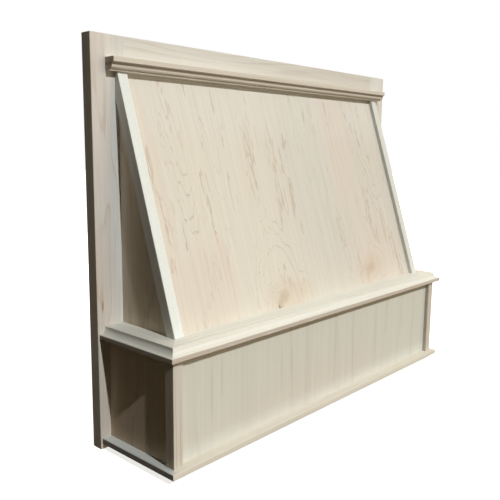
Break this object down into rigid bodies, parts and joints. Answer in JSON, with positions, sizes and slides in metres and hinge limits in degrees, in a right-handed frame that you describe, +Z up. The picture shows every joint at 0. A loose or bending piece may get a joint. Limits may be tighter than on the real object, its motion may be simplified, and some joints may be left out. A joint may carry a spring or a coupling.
{
  "type": "wooden range hood cover",
  "caption": "Wooden range hood cover: a sloping plywood panel between proud side strips, on a coved mantel shelf and an open-bottomed box, with a flat back frame and a small crown moulding.",
  "frame": {"origin": "the middle of the top rail's back face, where the cover is hung against the cabinets", "axes": "+X to the right as seen from the front, +Y back into the cabinets, +Z up"},
  "size_m": [0.9144, 0.2174, 0.725],
  "materials": {
    "solid_maple": "bare, sanded",
    "maple_plywood": "bare, sanded",
    "cleat_wood": "bare, sawn",
    "steel": "plated"
  },
  "bodies": {
    "root": {"crown_brads": "steel", "crown_moulding": "solid_maple", "foot_cleat_screws": "steel", "front_apron_panel": "maple_plywood", "front_bottom_trim": "solid_maple", "front_liner_rail": "cleat_wood", "front_shelf": "solid_maple", "front_shelf_cleat": "cleat_wood", "left_apron_panel": "maple_plywood", "left_bottom_trim": "solid_maple", "left_cheek_panel": "maple_plywood", "left_cheek_strip": "solid_maple", "left_corner_block": "cleat_wood", "left_corner_post": "solid_maple", "left_liner_rail": "cleat_wood", "left_rear_cleat": "cleat_wood", "left_shelf": "solid_maple", "left_shelf_cleat": "cleat_wood", "left_slope_cleat": "cleat_wood", "left_stile": "solid_maple", "liner_rail_screws": "steel", "pocket_screws": "steel", "rear_cleat_screws": "steel", "right_apron_panel": "maple_plywood", "right_bottom_trim": "solid_maple", "right_cheek_panel": "maple_plywood", "right_cheek_strip": "solid_maple", "right_corner_block": "cleat_wood", "right_corner_post": "solid_maple", "right_liner_rail": "cleat_wood", "right_rear_cleat": "cleat_wood", "right_shelf": "solid_maple", "right_shelf_cleat": "cleat_wood", "right_slope_cleat": "cleat_wood", "right_stile": "solid_maple", "shelf_screws": "steel", "slope_foot_cleat": "cleat_wood", "slope_head_cleat": "cleat_wood", "slope_panel": "maple_plywood", "top_rail": "solid_maple"}
  },
  "joints": []
}
